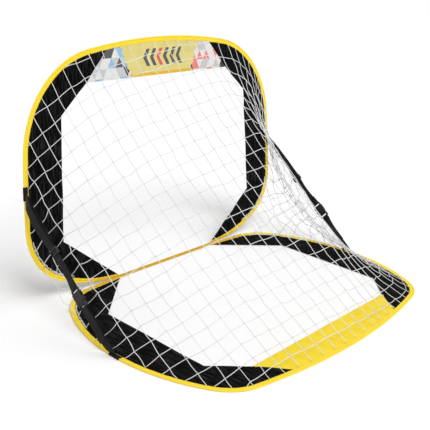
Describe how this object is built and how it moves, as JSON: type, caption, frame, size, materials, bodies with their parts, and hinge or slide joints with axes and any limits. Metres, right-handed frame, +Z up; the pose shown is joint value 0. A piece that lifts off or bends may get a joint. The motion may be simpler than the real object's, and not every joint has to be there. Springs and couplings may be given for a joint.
{
  "type": "folding goal",
  "caption": "Pop-up folding ball goal: two hinged wire hoops in fabric sleeves with a knotted net between them, held open by buckled side straps.",
  "frame": {"origin": "middle of the plan outline of the open goal, on the floor under the base hoop", "axes": "+Z up, +X along the hinge edge towards the goal's right side seen from the front, +Y from the mouth to the rear"},
  "size_m": [0.957, 0.6789, 0.5803],
  "materials": {
    "sleeve_fabric": "woven polyester, slight sheen",
    "spring_wire": "drawn spring steel",
    "ferrule_metal": "crimped",
    "yellow_fabric": "woven polyester, matte",
    "printed_fabric": "printed woven polyester, matte",
    "black_fabric": "woven polyester, matte",
    "hinge_fabric": "woven tape, matte",
    "net_cord": "knotted twine",
    "webbing": "woven strap, matte",
    "buckle_plastic": "fine moulded texture"
  },
  "bodies": {
    "base": {"base_sleeve": "sleeve_fabric", "base_wire": "spring_wire", "base_ferrule": "ferrule_metal", "base_left_panel": "black_fabric", "base_right_panel": "black_fabric", "base_rear_panel": "yellow_fabric", "rear_hem": "yellow_fabric", "hinge_tape": "hinge_fabric", "net": "net_cord", "left_lower_anchor": "webbing", "right_lower_anchor": "webbing"},
    "upright": {"upright_sleeve": "sleeve_fabric", "upright_wire": "spring_wire", "upright_ferrule": "ferrule_metal", "upright_left_panel": "black_fabric", "upright_right_panel": "black_fabric", "upright_top_panel": "printed_fabric", "top_hem": "yellow_fabric", "left_upper_anchor": "webbing", "right_upper_anchor": "webbing"},
    "left_lower_strap": {"left_buckle_socket": "buckle_plastic", "left_buckle_plug": "buckle_plastic", "left_buckle_webbing": "webbing", "left_lower_webbing": "webbing"},
    "right_lower_strap": {"right_buckle_socket": "buckle_plastic", "right_buckle_plug": "buckle_plastic", "right_buckle_webbing": "webbing", "right_lower_webbing": "webbing"},
    "left_upper_strap": {"left_upper_webbing": "webbing", "left_slider": "buckle_plastic"},
    "right_upper_strap": {"right_upper_webbing": "webbing", "right_slider": "buckle_plastic"}
  },
  "joints": [
    {"name": "fold", "type": "hinge", "parent": "base", "child": "upright", "pos_m": [0, -0.24981, 0.00365], "axis": [1, 0, 0], "range_deg": [-97.9, 0], "deforming": ["net", "left_upper_webbing", "right_upper_webbing", "left_buckle_webbing", "right_buckle_webbing", "left_lower_webbing", "right_lower_webbing"]},
    {"name": "left_buckle_swing", "type": "hinge", "parent": "base", "child": "left_lower_strap", "pos_m": [-0.47476, 0.02938, 0.00175], "axis": [0.9994, 0, -0.0355], "range_deg": [0, 29.4]},
    {"name": "right_buckle_swing", "type": "hinge", "parent": "base", "child": "right_lower_strap", "pos_m": [0.47476, 0.02938, 0.00175], "axis": [0.9994, 0, 0.0355], "range_deg": [0, 29.4]},
    {"name": "left_slider_swing", "type": "hinge", "parent": "upright", "child": "left_upper_strap", "pos_m": [-0.45949, -0.29045, 0.26268], "axis": [1, 0, 0], "range_deg": [-52.2, 0]},
    {"name": "right_slider_swing", "type": "hinge", "parent": "upright", "child": "right_upper_strap", "pos_m": [0.45949, -0.29045, 0.26268], "axis": [1, 0, 0], "range_deg": [-52.2, 0]}
  ],
  "couplings": [
    {"joint": "left_buckle_swing", "follows": "fold", "ratio": -0.2984},
    {"joint": "right_buckle_swing", "follows": "fold", "ratio": -0.2984},
    {"joint": "left_slider_swing", "follows": "fold", "ratio": 0.5299},
    {"joint": "right_slider_swing", "follows": "fold", "ratio": 0.5299}
  ]
}
